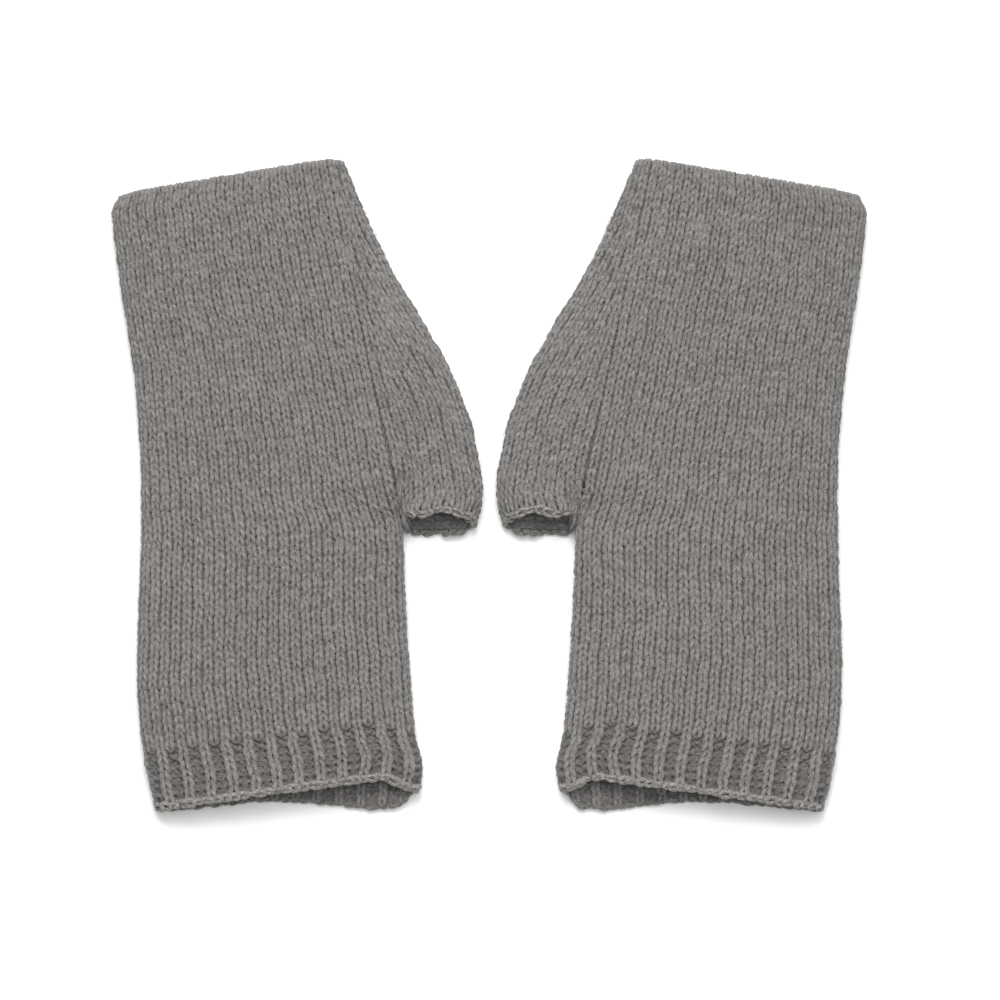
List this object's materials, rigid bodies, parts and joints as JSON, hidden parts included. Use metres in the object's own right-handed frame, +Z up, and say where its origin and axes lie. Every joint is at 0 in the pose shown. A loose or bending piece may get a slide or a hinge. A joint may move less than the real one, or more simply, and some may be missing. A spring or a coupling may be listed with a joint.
{
  "type": "fingerless gloves",
  "caption": "Pair of long knitted fingerless gloves with open fingers and wrists, a ribbed finger band, a turned hem and a thumb gusset that folds.",
  "frame": {"origin": "on the resting surface, midway between the two gloves and midway along their length", "axes": "+X runs across the pair towards the right-hand glove, +Y runs from the finger ends towards the wrist ends, +Z is up from the surface that the gloves lie on"},
  "size_m": [0.2572, 0.221, 0.015],
  "materials": {
    "knit_body": "heathered warm grey wool stockinette, slightly fuzzy",
    "knit_rib": "heathered warm grey wool, one by one rib",
    "knit_hem": "warm grey wool, purl side out",
    "knit_edge": "light warm grey bound-off chain",
    "sewing_yarn": "warm grey plied wool yarn"
  },
  "bodies": {
    "left_glove": {"left_hand_tube": "knit_body", "left_wrist_hem_facing": "knit_hem", "left_wrist_hem_stitches": "sewing_yarn", "left_finger_rib_band": "knit_rib", "left_finger_bind_off": "knit_edge", "left_hand_side_seam": "sewing_yarn", "left_thumb_crotch_stitches": "sewing_yarn", "left_woven_in_yarn_end": "sewing_yarn"},
    "left_thumb": {"left_thumb_gusset": "knit_body", "left_thumb_bind_off": "knit_edge", "left_gusset_seam": "sewing_yarn", "left_thumb_seam_knot": "sewing_yarn"},
    "right_glove": {"right_hand_tube": "knit_body", "right_wrist_hem_facing": "knit_hem", "right_wrist_hem_stitches": "sewing_yarn", "right_finger_rib_band": "knit_rib", "right_finger_bind_off": "knit_edge", "right_hand_side_seam": "sewing_yarn", "right_thumb_crotch_stitches": "sewing_yarn", "right_woven_in_yarn_end": "sewing_yarn"},
    "right_thumb": {"right_thumb_gusset": "knit_body", "right_thumb_bind_off": "knit_edge", "right_gusset_seam": "sewing_yarn", "right_thumb_seam_knot": "sewing_yarn"}
  },
  "joints": [
    {"name": "left_thumb_fold", "type": "hinge", "parent": "left_glove", "child": "left_thumb", "pos_m": [-0.0516, 0.092, 0.0129], "axis": [0.2093, -0.9775, -0.0277], "range_deg": [0, 85]},
    {"name": "right_glove_lift", "type": "slide", "parent": "left_glove", "child": "right_glove", "axis": [0, 0, 1], "range_m": [0, 0.1]},
    {"name": "right_thumb_fold", "type": "hinge", "parent": "right_glove", "child": "right_thumb", "pos_m": [0.0516, 0.092, 0.0129], "axis": [0.2093, 0.9775, 0.0277], "range_deg": [0, 85]}
  ]
}
